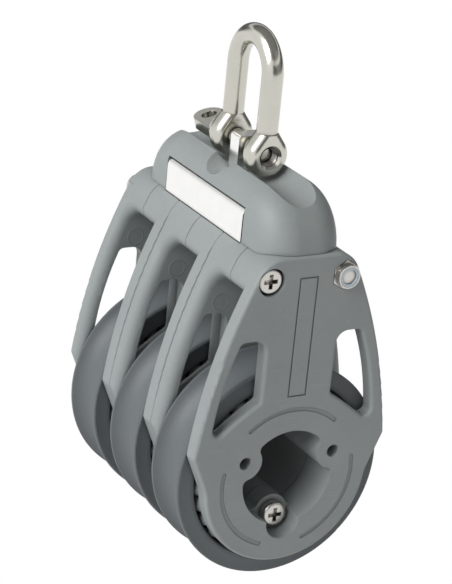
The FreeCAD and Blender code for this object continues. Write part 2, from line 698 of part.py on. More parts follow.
def make_nut(label, side):
    """A locking nut with a round collar. Side -1 sits in the front face and at +X."""
    body = new_body(label)
    corners = hexagon(size("nut_flats"))
    flats = new_sketch(body, "Flats")
    draw_loop(flats, corners[0], [(corner,) for corner in corners[1:]])
    pad(body, flats, "Sizes.nut_hex_height")
    cone = new_sketch(body, "CornerCone", "XY_Plane")
    start = size("nut_flats") / 2
    past = size("nut_flats") / math.sqrt(3) + size("nut_room")
    high = size("nut_hex_height")
    draw_loop(cone, (start, -high), [
        ((past, -high),), ((past, (past - start) * math.tan(math.radians(30)) - high),)])
    corner_cut = body.newObject("PartDesign::Groove", "CornerCone")
    corner_cut.Profile = cone
    corner_cut.ReferenceAxis = (cone, ["V_Axis"])
    corner_cut.Angle = 360
    doc.recompute()
    collar = new_sketch(body, "Collar")
    draw_circle(collar, "Sizes.nut_collar / 2")
    pad(body, collar, "Sizes.nut_hex_height + Sizes.nut_collar_height")
    bore = new_sketch(body, "Bore", shift="Sizes.nut_hex_height + Sizes.nut_collar_height")
    draw_circle(bore, "Sizes.bolt_diameter / 2 + Sizes.thread_fit")
    pocket(body, bore, "2 * (Sizes.nut_hex_height + Sizes.nut_collar_height)")
    ring_seat = new_sketch(body, "RingSeat", shift="Sizes.nut_hex_height + Sizes.nut_collar_height")
    draw_circle(ring_seat, "Sizes.insert_diameter / 2 + Sizes.thread_fit")
    pocket(body, ring_seat, "Sizes.insert_height")
    place(body, "%d * Sizes.bolt_reach" % -side, "%d * (%s - Sizes.nut_sink)" % (side, BLOCK_END),
          "Sizes.bolt_height", half_turn=side > 0)
    return body


def make_locking_ring(label, side):
    """The plastic ring in the collar of a locking nut."""
    body = new_body(label)
    ring = new_sketch(body, "Ring")
    draw_circle(ring, "Sizes.insert_diameter / 2")
    draw_circle(ring, "Sizes.bolt_diameter / 2 + Sizes.thread_fit")
    pad(body, ring, "Sizes.insert_height")
    lift = "Sizes.nut_hex_height + Sizes.nut_collar_height - Sizes.insert_height - Sizes.nut_sink"
    place(body, "%d * Sizes.bolt_reach" % -side, "%d * (%s + %s)" % (side, BLOCK_END, lift),
          "Sizes.bolt_height", half_turn=side > 0)
    return body


def crown_corner():
    """Centre of the rounding of a crown's top corner, from its flat top and its bowed flank."""
    points = [vec(size("crown_half_width"), size("crown_height")),
              vec(size("flank_half_width"), size("flank_height")),
              vec(size("shoulder_half_width"), size("shoulder_height"))]
    flank = Part.Circle(*points)
    height = size("crown_height") - size("crown_round")
    reach = flank.Radius - size("crown_round")
    return flank.Center.x + math.sqrt(reach ** 2 - (height - flank.Center.y) ** 2), height


def draw_strap_section(sketch, room):
    """Folded sheet in section, swollen by a room on every side, down to the long bolts."""
    outer = size("strap_half_width") + room
    inner = size("strap_half_width") - size("strap_sheet") - room
    high = size("strap_top") + room
    under = size("strap_top") - size("strap_sheet") - room
    bend = size("strap_bend") + room
    tight = size("strap_bend") - size("strap_sheet") - room
    foot = size("bolt_height")
    bend_slack = bend * (1 - math.sqrt(0.5))
    tight_slack = tight * (1 - math.sqrt(0.5))
    draw_loop(sketch, (-outer, foot), [
        ((-outer, high - bend),),
        ((bend_slack - outer, high - bend_slack), (bend - outer, high)),
        ((outer - bend, high),),
        ((outer - bend_slack, high - bend_slack), (outer, high - bend)),
        ((outer, foot),),
        ((inner, foot),),
        ((inner, under - tight),),
        ((inner - tight_slack, under - tight_slack), (inner - tight, under)),
        ((tight - inner, under),),
        ((tight_slack - inner, under - tight_slack), (-inner, under - tight)),
        ((-inner, foot),),
    ])


def draw_box(sketch, x0, z0, x1, z1):
    draw_loop(sketch, (x0, z0), [((x1, z0),), ((x1, z1),), ((x0, z1),)])


def make_head():
    """Moulded head: two lobes with channels for the shackle ears, over the strap and the post."""
    body = new_body("head")
    long = size("head_half_length")
    wide = size("head_half_width")
    top = size("head_top")
    nose = size("head_nose_round")
    foot = size("bolt_height")
    lean = math.radians(size("head_nose_lean"))
    middle_y = long - nose / math.cos(lean)
    middle_y += (top - nose - size("crown_height")) * math.tan(lean)
    middle_z = top - nose

    def on_nose(degrees):
        turned = math.radians(degrees)
        return middle_y + nose * math.cos(turned), middle_z + nose * math.sin(turned)

    start = on_nose(math.degrees(lean))
    half_way = on_nose((90 + math.degrees(lean)) / 2)
    toe = start[0] + (start[1] - foot) * math.tan(lean)
    outline = new_sketch(body, "Outline", "YZ_Plane")
    draw_loop(outline, (-toe, foot), [
        ((toe, foot),),
        (start,),
        (half_way, (middle_y, top)),
        ((-middle_y, top),),
        ((-half_way[0], half_way[1]), (-start[0], start[1])),
    ])
    pad(body, outline, "2 * Sizes.head_half_width", middle=True)

    def over_the_sides(edge):
        box = edge.BoundBox
        flat = box.XMax - box.XMin < CLOSE and abs(abs(box.XMax) - wide) < CLOSE
        return flat and box.ZMax > foot + CLOSE

    round_edges(body, "Sizes.head_side_round", over_the_sides)
    corner_x, corner_z = crown_corner()
    under_round = size("crown_round") + size("seat_gap")
    bulge = under_round * math.sqrt(0.5)
    low = foot - size("crown_round")
    crowns = new_sketch(body, "Crowns")
    draw_loop(crowns, (-corner_x, corner_z + under_round), [
        ((corner_x, corner_z + under_round),),
        ((corner_x + bulge, corner_z + bulge), (corner_x + under_round, corner_z)),
        ((corner_x + under_round, low),),
        ((-corner_x - under_round, low),),
        ((-corner_x - under_round, corner_z),),
        ((-corner_x - bulge, corner_z + bulge), (-corner_x, corner_z + under_round)),
    ])
    pocket(body, crowns, "4 * Sizes.head_half_length", middle=True)
    channel = new_sketch(body, "EarChannel")
    draw_circle(channel, "Sizes.scoop_radius", "0", "Sizes.pin_height")
    pocket(body, channel, "4 * Sizes.head_half_length", middle=True)
    saddle = new_sketch(body, "Saddle", "YZ_Plane")
    reach = size("saddle_half_width")
    floor = size("saddle_floor")
    draw_loop(saddle, (-reach, floor + reach), [
        ((0, floor), (reach, floor + reach)), ((reach, top + reach),), ((-reach, top + reach),)])
    pocket(body, saddle, "4 * Sizes.head_half_width", middle=True)
    cut_head_rooms(body)
    return body


def cut_head_rooms(body):
    """The room that the strap and the post fill in the moulding."""
    strap = new_sketch(body, "StrapRoom")
    draw_strap_section(strap, size("seat_gap"))
    pocket(body, strap, "Sizes.strap_length + 2 * Sizes.seat_gap", middle=True)
    end = size("strap_length") / 2 + size("strap_slit")
    for hand in (1, -1):
        inside = "%d * (Sizes.strap_half_width - Sizes.strap_slit_depth)" % hand
        slits = new_sketch(body, "StrapSlits", "YZ_Plane", inside)
        draw_box(slits, -end, size("bolt_height"), end, size("strap_top"))
        pocket(body, slits, "2 * Sizes.strap_slit_depth", flip=hand > 0)
    post = new_sketch(body, "PostRoom", "XY_Plane", "Sizes.pin_height")
    wide = size("post_half_width") + size("post_fit")
    thick = size("post_thickness") / 2 + size("post_fit")
    draw_box(post, -wide, -thick, wide, thick)
    pocket(body, post, "Sizes.pin_height - Sizes.strap_top + Sizes.strap_sheet")
    foot_top = "(Sizes.strap_top - Sizes.strap_sheet)"
    foot = new_sketch(body, "FootRoom", "XY_Plane", foot_top)
    wide = size("foot_half_width") + size("seat_gap")
    long = size("foot_half_length") + size("seat_gap")
    draw_box(foot, -wide, -long, wide, long)
    pocket(body, foot, "Sizes.foot_thickness + 2 * Sizes.seat_gap")


def make_strap():
    """Folded steel sheet over the foot of the post, its edges rolled round the long bolts."""
    body = new_body("load_strap")
    section = new_sketch(body, "Section")
    draw_strap_section(section, 0.0)
    pad(body, section, "Sizes.strap_length", middle=True)
    knuckles = new_sketch(body, "Knuckles")
    for x in ("Sizes.bolt_reach", "-Sizes.bolt_reach"):
        draw_circle(knuckles, "Sizes.knuckle_radius", x, "Sizes.bolt_height")
    pad(body, knuckles, "Sizes.strap_length", middle=True)
    eyes = new_sketch(body, "BoltEyes")
    for x in ("Sizes.bolt_reach", "-Sizes.bolt_reach"):
        draw_circle(eyes, "Sizes.bolt_diameter / 2 + Sizes.shank_fit", x, "Sizes.bolt_height")
    pocket(body, eyes, "2 * Sizes.strap_length", middle=True)
    slot = new_sketch(body, "PostSlot", "XY_Plane", "Sizes.strap_top")
    wide = size("post_half_width") + size("post_fit")
    thick = size("post_thickness") / 2 + size("post_fit")
    draw_box(slot, -wide, -thick, wide, thick)
    pocket(body, slot, "2 * Sizes.strap_sheet", middle=True)
    return body


def make_post():
    """Steel post that the shackle pin passes through, with a broad foot under the strap."""
    body = new_body("shackle_post")
    foot_top = size("strap_top") - size("strap_sheet") - size("seat_gap")
    foot_low = foot_top - size("foot_thickness")
    plate = new_sketch(body, "Plate")
    half = size("post_half_width")
    draw_box(plate, -half, foot_low, half, size("post_top"))
    pad(body, plate, "Sizes.post_thickness", middle=True)
    round_edges(body, "Sizes.post_top_round", lambda edge: at_corner(edge, half, size("post_top")))
    foot = new_sketch(body, "Foot")
    draw_box(foot, -size("foot_half_width"), foot_low, size("foot_half_width"), foot_top)
    pad(body, foot, "2 * Sizes.foot_half_length", middle=True)
    eye = new_sketch(body, "PinEye")
    draw_circle(eye, "Sizes.pin_diameter / 2 + Sizes.pin_running_fit", "0", "Sizes.pin_height")
    pocket(body, eye, "2 * Sizes.post_thickness", middle=True)
    return body


def draw_ear(sketch):
    """Round ear whose sides run up to the bar."""
    ear = size("ear_radius")
    neck = size("ear_neck")
    bar = size("shackle_bar") / 2
    pin = size("pin_height")
    reach = math.hypot(bar, neck)
    turn_up = math.atan2(neck, bar) - math.acos(ear / reach)
    side = (ear * math.cos(turn_up), pin + ear * math.sin(turn_up))
    draw_loop(sketch, (bar, pin + neck), [
        ((-bar, pin + neck),),
        ((-side[0], side[1]),),
        ((0, pin - ear), side),
    ])


def make_shackle_bow():
    """D shackle of round bar with flat ears, the front one threaded for the pin."""
    body = new_body("shackle_bow")
    bar = size("shackle_bar") / 2
    leg = size("shackle_inside") / 2 + bar
    spring = size("pin_height") + size("shackle_reach") - bar - leg
    start = size("pin_height") + size("ear_neck") - bar
    for side in (-1, 1):
        ear = new_sketch(body, "Ear", shift="%d * Sizes.shackle_inside / 2" % -side)
        draw_ear(ear)
        pad(body, ear, "Sizes.ear_thickness", flip=side > 0)
    inside = size("shackle_inside") / 2
    outside = inside + size("ear_thickness")

    def ear_rim(edge):
        box = edge.BoundBox
        flat = box.YMax - box.YMin < SAME
        level = min(abs(abs(box.YMin) - inside), abs(abs(box.YMin) - outside)) < SAME
        return flat and level and box.ZMin < size("pin_height") + size("ear_neck") - SAME

    round_edges(body, "Sizes.ear_round", ear_rim)
    path = new_sketch(body, "BowLine", "YZ_Plane")
    first = path.addGeometry(Part.LineSegment(vec(-leg, start), vec(-leg, spring)), False)
    bend = Part.Arc(vec(-leg, spring), vec(0, spring + leg), vec(leg, spring))
    second = path.addGeometry(bend, False)
    third = path.addGeometry(Part.LineSegment(vec(leg, spring), vec(leg, start)), False)
    bend_first = 1 if path.getPoint(second, 1).x < 0 else 2
    path.addConstraint(Sketcher.Constraint("Coincident", first, 2, second, bend_first))
    path.addConstraint(Sketcher.Constraint("Coincident", second, 3 - bend_first, third, 1))
    bar_start = "Sizes.pin_height + Sizes.ear_neck - Sizes.shackle_bar / 2"
    disc = new_sketch(body, "Bar", "XY_Plane", bar_start)
    draw_circle(disc, "Sizes.shackle_bar / 2", "0", "-(Sizes.shackle_inside + Sizes.shackle_bar) / 2")
    doc.recompute()
    bow = body.newObject("PartDesign::AdditivePipe", "Bow")
    bow.Profile = disc
    bow.Spine = path
    doc.recompute()
    thread = new_sketch(body, "ThreadedEye", shift="Sizes.shackle_inside / 2 + Sizes.ear_thickness")
    draw_circle(thread, "Sizes.pin_diameter / 2 + Sizes.thread_fit", "0", "Sizes.pin_height")
    pocket(body, thread, "2 * Sizes.ear_thickness")
    plain = new_sketch(body, "PlainEye", shift="-(Sizes.shackle_inside / 2 + Sizes.ear_thickness)")
    draw_circle(plain, "Sizes.pin_diameter / 2 + Sizes.pin_running_fit", "0", "Sizes.pin_height")
    pocket(body, plain, "2 * Sizes.ear_thickness", flip=True)

    def mouth(edge):
        box = edge.BoundBox
        wide = box.XMax - box.XMin
        flat = abs(box.YMin + outside) < SAME and abs(box.YMax + outside) < SAME
        return flat and abs(wide - size("pin_diameter") - 2 * size("thread_fit")) < CLOSE

    depth = "(Sizes.ear_mouth - Sizes.pin_diameter) / 2 - Sizes.thread_fit"
    round_edges(body, depth, mouth, "PartDesign::Chamfer")
    return body


def make_shackle_pin():
    """Pin from the front ear through the post, with a collar and a flat eye at the rear."""
    body = new_body("shackle_pin")
    radius = size("pin_diameter") / 2
    ear_end = size("shackle_inside") / 2 + size("ear_thickness")
    collar = ear_end + size("pin_collar_room")
    collar_end = collar + size("pin_collar_thickness")
    shank = new_sketch(body, "Shank", "XY_Plane")
    draw_loop(shank, (0, size("pin_tip_sink") - ear_end), [
        ((radius, size("pin_tip_sink") - ear_end),),
        ((radius, collar),),
        ((size("pin_collar") / 2, collar),),
        ((size("pin_collar") / 2, collar_end),),
        ((0, collar_end),),
    ])
    turn(body, shank)
    eye = new_sketch(body, "Eye", "XY_Plane")
    half = size("eye_half_width")
    tip = collar_end + size("eye_length")
    shoulder = tip - half
    draw_loop(eye, (-half, collar_end - size("pin_collar_thickness") / 2), [
        ((half, collar_end - size("pin_collar_thickness") / 2),),
        ((half, shoulder),),
        ((0, tip), (-half, shoulder)),
    ])
    pad(body, eye, "Sizes.eye_thickness", middle=True)
    slot = new_sketch(body, "EyeSlot", "XY_Plane")
    end = size("eye_slot_width") / 2
    reach = size("eye_slot_length") / 2
    draw_loop(slot, (end - reach, shoulder - end), [
        ((reach - end, shoulder - end),),
        ((reach, shoulder), (reach - end, shoulder + end)),
        ((end - reach, shoulder + end),),
        ((-reach, shoulder), (end - reach, shoulder - end)),
    ])
    pocket(body, slot, "2 * Sizes.eye_thickness", middle=True)
    body.Placement = FreeCAD.Placement(vec(0, 0), FreeCAD.Rotation(vec(0, 1), size("eye_turn")))
    place(body, z="Sizes.pin_height")
    return body


def export_all(parts):
    """Checks every object and writes one file for each sub-part, named by its label."""
    doc.recompute()
    for thing in doc.Objects:
        if "Invalid" in thing.State or "Error" in thing.State:
            raise RuntimeError("%s is %s" % (thing.Label, thing.State))
    for part in parts:
        if part.Shape.isNull() or not part.Shape.isValid():
            raise RuntimeError("%s has no sound shape" % part.Label)
        part.Shape.exportStep("parts/%s.step" % part.Label)


parts = [make_half_shell(module, side) for module in MODULES for side in (-1, 1)]
parts += [make_sheave(module) for module in MODULES]
parts += [make_ball_row(module, side) for module in MODULES for side in (-1, 1)]
parts += [make_hub_screws(module) for module in MODULES]
for hand, side in (("left", -1), ("right", 1)):
    parts.append(make_long_bolt("long_bolt_" + hand, side))
for hand, side in (("right", -1), ("left", 1)):
    parts.append(make_nut("lock_nut_" + hand, side))
    parts.append(make_locking_ring("locking_ring_" + hand, side))
parts += [make_head(), make_strap(), make_post(), make_shackle_bow(), make_shackle_pin()]
export_all(parts)
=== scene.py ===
import math
from types import SimpleNamespace

import bpy
import numpy as np
from mathutils import Matrix, Vector


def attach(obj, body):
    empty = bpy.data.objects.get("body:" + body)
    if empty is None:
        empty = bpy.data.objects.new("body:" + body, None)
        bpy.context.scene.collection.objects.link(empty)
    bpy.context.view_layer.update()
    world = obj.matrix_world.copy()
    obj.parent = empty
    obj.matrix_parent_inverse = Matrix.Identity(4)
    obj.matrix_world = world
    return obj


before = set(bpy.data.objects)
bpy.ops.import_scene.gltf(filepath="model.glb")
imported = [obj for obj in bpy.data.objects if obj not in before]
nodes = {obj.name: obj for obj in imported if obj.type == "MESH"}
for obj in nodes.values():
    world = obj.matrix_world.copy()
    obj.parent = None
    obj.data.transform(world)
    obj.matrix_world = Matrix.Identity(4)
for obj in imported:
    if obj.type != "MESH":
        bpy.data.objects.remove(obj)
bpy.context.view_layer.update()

# Camera at the photograph's viewing angle: 31 degrees to the left of the front cheek, 21 degrees
# above the axle and rolled a little, from about 0.66 m. Depth of field is off.
camera_azimuth = math.radians(-30.785)
camera_height = math.radians(21.374)
camera_roll = math.radians(5.651)
camera_away = 0.658853
camera_aside = 0.001638
camera_lift = 0.035181
focal_rows = 2400.46
picture_rows = 584.0
sensor_height = 36.0

back = Vector((math.sin(camera_azimuth) * math.cos(camera_height),
               -math.cos(camera_azimuth) * math.cos(camera_height), math.sin(camera_height)))
level_right = Vector((0, 0, 1)).cross(back).normalized()
level_up = back.cross(level_right)
right = math.cos(camera_roll) * level_right + math.sin(camera_roll) * level_up
up = -math.sin(camera_roll) * level_right + math.cos(camera_roll) * level_up
seat = back * camera_away + right * camera_aside + up * camera_lift
lens = bpy.data.cameras.new("camera")
lens.sensor_fit = "VERTICAL"
lens.sensor_height = sensor_height
lens.lens = focal_rows * sensor_height / picture_rows
lens.clip_start = 0.01
lens.clip_end = 20.0
lens.dof.use_dof = False
camera = bpy.data.objects.new("camera", lens)
bpy.context.scene.collection.objects.link(camera)
camera.matrix_world = Matrix.Translation(seat) @ Matrix((right, up, back)).transposed().to_4x4()
bpy.context.scene.camera = camera
bpy.context.scene.view_settings.view_transform = "Standard"

# Soft studio light: a broad lamp high on the left, a weak one from the right, and an even white
# surround. Polished metal sees a white table, a white panel on the left and a dark room above
# with one bright strip across it.
surround_strength = 0.20
room_heights = [(0.0, 1.0), (0.46, 1.0), (0.50, 0.11), (0.66, 0.13), (0.70, 1.0), (0.73, 1.0), (0.77, 0.12),
                (0.93, 0.25)]
panel_reach = [(0.0, 0.0), (0.68, 0.0), (0.78, 1.0), (1.0, 1.0)]
white = (1.0, 1.0, 1.0)


def lamp(name, towards, strength, spread):
    """A sun of the given strength whose light comes from a direction, blurred by an angle."""
    light = bpy.data.lights.new(name, "SUN")
    light.energy = strength
    light.angle = math.radians(spread)
    light.color = white
    obj = bpy.data.objects.new(name, light)
    bpy.context.scene.collection.objects.link(obj)
    obj.matrix_world = Vector(towards).to_track_quat("Z", "Y").to_matrix().to_4x4()


lamp("key_lamp", (-0.82, -0.12, 0.60), 2.6, 42)
lamp("fill_lamp", (0.55, -0.75, 0.35), 0.12, 60)


def add(tree, kind, **settings):
    """A node of the given kind with its settings, and its unlinked sockets by name."""
    node = tree.nodes.new(kind)
    for key, value in settings.items():
        if hasattr(node, key):
            setattr(node, key, value)
        else:
            node.inputs[key].default_value = value
    return node


def plug(tree, node, **links):
    """Links sockets into a node's inputs, named with _ for a space, and gives the node."""
    for key, value in links.items():
        tree.links.new(value, node.inputs[key.replace("_", " ")])
    return node


def calc(tree, operation, *values):
    """Arithmetic on one, two or three values, each a socket or a number."""
    node = tree.nodes.new("ShaderNodeMath")
    node.operation = operation
    for index, value in enumerate(values):
        if isinstance(value, (int, float)):
            node.inputs[index].default_value = value
        else:
            tree.links.new(value, node.inputs[index])
    return node.outputs[0]


def ramp(tree, value, stops):
    """Eased colour ramp over a value, its stops as (position, grey)."""
    node = tree.nodes.new("ShaderNodeValToRGB")
    node.color_ramp.interpolation = "EASE"
    elements = node.color_ramp.elements
    while len(elements) < len(stops):
        elements.new(0.5)
    for element, (position, grey) in zip(elements, stops):
        element.position = position
        element.color = (grey, grey, grey, 1.0)
    tree.links.new(value, node.inputs[0])
    return node.outputs[0]


def blend_colours(tree, kind, share, first, second):
    """Mix node on two colours, each a socket or a colour, by a share that is a socket or a number."""
    node = add(tree, "ShaderNodeMix", data_type="RGBA", blend_type=kind)
    for index, value in ((0, share), (6, first), (7, second)):
        if isinstance(value, (int, float)):
            node.inputs[index].default_value = value
        elif isinstance(value, tuple):
            node.inputs[index].default_value = (*value, 1.0)
        else:
            tree.links.new(value, node.inputs[index])
    return node.outputs[2]


def mix_shaders(tree, share, first, second):
    """The second shader where the share is 1, and the first elsewhere."""
    node = add(tree, "ShaderNodeMixShader")
    tree.links.new(share, node.inputs[0])
    tree.links.new(first.outputs[0], node.inputs[1])
    tree.links.new(second.outputs[0], node.inputs[2])
    return node


world = bpy.data.worlds.new("studio")
bpy.context.scene.world = world
world.use_nodes = True
tree = world.node_tree
tree.nodes.clear()
light_path = add(tree, "ShaderNodeLightPath")
direction = add(tree, "ShaderNodeTexCoord")
parts = plug(tree, add(tree, "ShaderNodeSeparateXYZ"), Vector=direction.outputs["Generated"])
height = calc(tree, "MULTIPLY_ADD", parts.outputs["Z"], 0.5, 0.5)
room = ramp(tree, height, room_heights)
leftwards = calc(tree, "MULTIPLY_ADD", parts.outputs["X"], -0.5, 0.5)
panel = ramp(tree, leftwards, panel_reach)
mirror_room = blend_colours(tree, "MIX", panel, room, white)
even = add(tree, "ShaderNodeBackground", Color=(*white, 1.0), Strength=surround_strength)
seen = add(tree, "ShaderNodeBackground", Color=(*white, 1.0), Strength=1.0)
mirrored = plug(tree, add(tree, "ShaderNodeBackground", Strength=1.0), Color=mirror_room)
shiny = mix_shaders(tree, light_path.outputs["Is Glossy Ray"], even, mirrored)
plain = mix_shaders(tree, light_path.outputs["Is Camera Ray"], shiny, seen)
tree.links.new(plain.outputs[0], add(tree, "ShaderNodeOutputWorld").inputs[0])

# Half shells: the three front and three rear cheeks with their half hubs, injection moulded in grey
# glass filled nylon. They show fine spark eroded grain, the joint lines of the two halves, a round
# ejector mark high on each inner wall, and painted shade that darkens the grooves.
shell_grey = (0.322, 0.350, 0.349)
shell_roughness = 0.5
plastic_shine = 0.36
half_module = 0.01235
joint_half_width = 0.00016
joint_grey = (0.06, 0.066, 0.068)
joint_share = 0.62
inner_wall = 0.00835
wall_reach = 0.0005
ejector_reach = 0.0131
ejector_height = 0.0430
ejector_radius = 0.0023
ejector_rim = 0.00026
ejector_grey = (0.16, 0.18, 0.18)
ejector_share = 0.12
mark_depth = 0.00012
rim_depth_share = 0.9
disc_depth_share = 0.35


def new_material(name):
    """An empty node material and its tree."""
    made = bpy.data.materials.new(name)
    made.use_nodes = True
    made.node_tree.nodes.clear()
    return made, made.node_tree


def finish_material(tree, shader):
    """Sends the shader to the material's output."""
    tree.links.new(shader.outputs[0], add(tree, "ShaderNodeOutputMaterial").inputs["Surface"])


def new_group(name, inputs, outputs):
    """A shader node group with named sockets, and its input and output nodes."""
    group = bpy.data.node_groups.new(name, "ShaderNodeTree")
    kinds = {"f": "NodeSocketFloat", "v": "NodeSocketVector"}
    for socket, kind, value in inputs:
        made = group.interface.new_socket(name=socket, in_out="INPUT", socket_type=kinds[kind])
        if value is not None:
            made.default_value = value
    for socket, kind in outputs:
        group.interface.new_socket(name=socket, in_out="OUTPUT", socket_type=kinds[kind])
    return group, add(group, "NodeGroupInput"), add(group, "NodeGroupOutput")


def use_group(tree, group, **settings):
    """The group as a node: numbers are set on its sockets and sockets are linked."""
    node = tree.nodes.new("ShaderNodeGroup")
    node.node_tree = group
    for key, value in settings.items():
        socket = node.inputs[key.replace("_", " ")]
        if isinstance(value, (int, float)):
            socket.default_value = value
        else:
            tree.links.new(value, socket)
    return node


# Moulded grain: a bump of fine and coarser noise, heights in metres, on top of rounded edges.
coarse_share = 0.11
coarse_weight = 2.5

moulded_grain, given, result = new_group(
    "moulded_grain", [("Position", "v", None), ("Grain size", "f", 0.0004), ("Grain depth", "f", 4e-6),
                      ("Edge radius", "f", 0.0002)], [("Normal", "v"), ("Grain", "f")])
frequency = calc(moulded_grain, "DIVIDE", 1.0, given.outputs["Grain size"])
fine = plug(moulded_grain, add(moulded_grain, "ShaderNodeTexNoise", Detail=3.0, Roughness=0.6),
            Vector=given.outputs["Position"], Scale=frequency)
low_frequency = calc(moulded_grain, "MULTIPLY", frequency, coarse_share)
wavy = plug(moulded_grain, add(moulded_grain, "ShaderNodeTexNoise", Detail=2.0),
            Vector=given.outputs["Position"], Scale=low_frequency)
relief = calc(moulded_grain, "MULTIPLY_ADD", wavy.outputs[0], coarse_weight, fine.outputs[0])
edges = add(moulded_grain, "ShaderNodeBevel", samples=4)
moulded_grain.links.new(given.outputs["Edge radius"], edges.inputs["Radius"])
bump = plug(moulded_grain, add(moulded_grain, "ShaderNodeBump"), Distance=given.outputs["Grain depth"],
            Height=relief, Normal=edges.outputs[0])
moulded_grain.links.new(bump.outputs[0], result.inputs["Normal"])
moulded_grain.links.new(fine.outputs[0], result.inputs["Grain"])

# Mottle: a slow and a quick change of tone about 1, for pigment and handling.
quick_times = 9.0
quick_weight = 0.5
noise_mean = 0.5
mottle_contrast = 3.0

mottle, given, result = new_group(
    "mottle", [("Position", "v", None), ("Patch size", "f", 0.012), ("Change", "f", 0.05)], [("Tone", "f")])
frequency = calc(mottle, "DIVIDE", 1.0, given.outputs["Patch size"])
slow = plug(mottle, add(mottle, "ShaderNodeTexNoise", Detail=2.0), Vector=given.outputs["Position"],
            Scale=frequency)
quick = plug(mottle, add(mottle, "ShaderNodeTexNoise", Detail=4.0), Vector=given.outputs["Position"],
             Scale=calc(mottle, "MULTIPLY", frequency, quick_times))
both = calc(mottle, "MULTIPLY_ADD", quick.outputs[0], quick_weight, slow.outputs[0])
centred = calc(mottle, "SUBTRACT", both, noise_mean * (1.0 + quick_weight))
swing = calc(mottle, "MULTIPLY", given.outputs["Change"], mottle_contrast)
mottle.links.new(calc(mottle, "MULTIPLY_ADD", centred, swing, 1.0), result.inputs["Tone"])

# Scuffs: short pale scratches in two directions, as a mask.
scuff_turns = ((0.3, 0.5, 0.9), (1.4, -0.4, 0.2))
scuff_thinness = 14.0

scuffs, given, result = new_group(
    "scuffs", [("Position", "v", None), ("Length", "f", 0.006), ("Amount", "f", 0.5)], [("Mask", "f")])
masks = []
for turned in scuff_turns:
    aimed = add(scuffs, "ShaderNodeMapping", Rotation=turned)
    aimed.inputs["Scale"].default_value = (1.0, scuff_thinness, scuff_thinness)
    plug(scuffs, aimed, Vector=given.outputs["Position"])
    streak = plug(scuffs, add(scuffs, "ShaderNodeTexNoise", Detail=1.0), Vector=aimed.outputs[0],
                  Scale=calc(scuffs, "DIVIDE", 1.0, given.outputs["Length"]))
    masks.append(ramp(scuffs, streak.outputs[0], [(0.0, 0.0), (0.70, 0.0), (0.76, 1.0)]))
strongest = calc(scuffs, "MAXIMUM", *masks)
scuffs.links.new(calc(scuffs, "MULTIPLY", strongest, given.outputs["Amount"]), result.inputs["Mask"])

# Painted recess shade: how far a place is shut in by what stands round it, 0 in the open and 1 deep
# inside. Colours are painted darker by it where shade falls in hollows and creases.
painted_recess_shade, given, result = new_group("painted_recess_shade", [("Reach", "f", 0.001), ("Hardness", "f", 1.6)],
                                       [("Mask", "f")])
shut_in = add(painted_recess_shade, "ShaderNodeAmbientOcclusion", samples=6)
painted_recess_shade.links.new(given.outputs["Reach"], shut_in.inputs["Distance"])
depth = calc(painted_recess_shade, "SUBTRACT", 1.0, shut_in.outputs["AO"])
painted_recess_shade.links.new(calc(painted_recess_shade, "MULTIPLY", depth, given.outputs["Hardness"]), result.inputs["Mask"])


def moulded_plastic(name, grey, roughness, grain_size=0.00035, change=0.05):
    """A moulded material with mottle, scuffs, painted shade in recesses and grain, given with its parts for
    later changes.
    """
    made, tree = new_material(name)
    position = add(tree, "ShaderNodeTexCoord").outputs["Object"]
    tone = use_group(tree, mottle, Position=position, Patch_size=0.014, Change=change)
    colour = blend_colours(tree, "MULTIPLY", 1.0, grey, tone.outputs["Tone"])
    marks = use_group(tree, scuffs, Position=position, Length=0.005, Amount=0.22)
    paler = tuple(min(1.0, channel * 1.5) for channel in grey)
    colour = blend_colours(tree, "MIX", marks.outputs["Mask"], colour, paler)
    # Painted shade: the colour is darkened in recesses and creases by how shut in they are.
    recess_shading = use_group(tree, painted_recess_shade, Reach=0.0012, Hardness=0.75)
    shade_grey = tuple(channel * 0.25 for channel in grey)
    colour = blend_colours(tree, "MIX", calc(tree, "MINIMUM", recess_shading.outputs["Mask"], 0.8), colour, shade_grey)
    grain = use_group(tree, moulded_grain, Position=position, Grain_size=grain_size, Grain_depth=9e-6,
                      Edge_radius=0.00022)
    surface = add(tree, "ShaderNodeBsdfPrincipled", Roughness=roughness)
    surface.inputs["Specular IOR Level"].default_value = plastic_shine
    rough = calc(tree, "MULTIPLY_ADD", grain.outputs["Grain"], 0.16, roughness - 0.08)
    tree.links.new(rough, surface.inputs["Roughness"])
    tree.links.new(grain.outputs["Normal"], surface.inputs["Normal"])
    tree.links.new(colour, surface.inputs["Base Color"])
    return SimpleNamespace(material=made, tree=tree, position=position, colour=colour, grain=grain,
                           surface=surface)


def line_mask(tree, value, place, half_width):
    """1 on a line where the value is at a place, falling to 0 over its half width."""
    away = calc(tree, "ABSOLUTE", calc(tree, "SUBTRACT", value, place))
    shade = add(tree, "ShaderNodeMapRange", interpolation_type="SMOOTHSTEP")
    shade.inputs["From Min"].default_value = half_width
    shade.inputs["From Max"].default_value = half_width * 0.3
    tree.links.new(away, shade.inputs["Value"])
    return shade.outputs["Result"]


def length_of(tree, first, second):
    """Root of the sum of two squares."""
    squares = [calc(tree, "POWER", value, 2.0) for value in (first, second)]
    return calc(tree, "SQRT", calc(tree, "ADD", *squares))


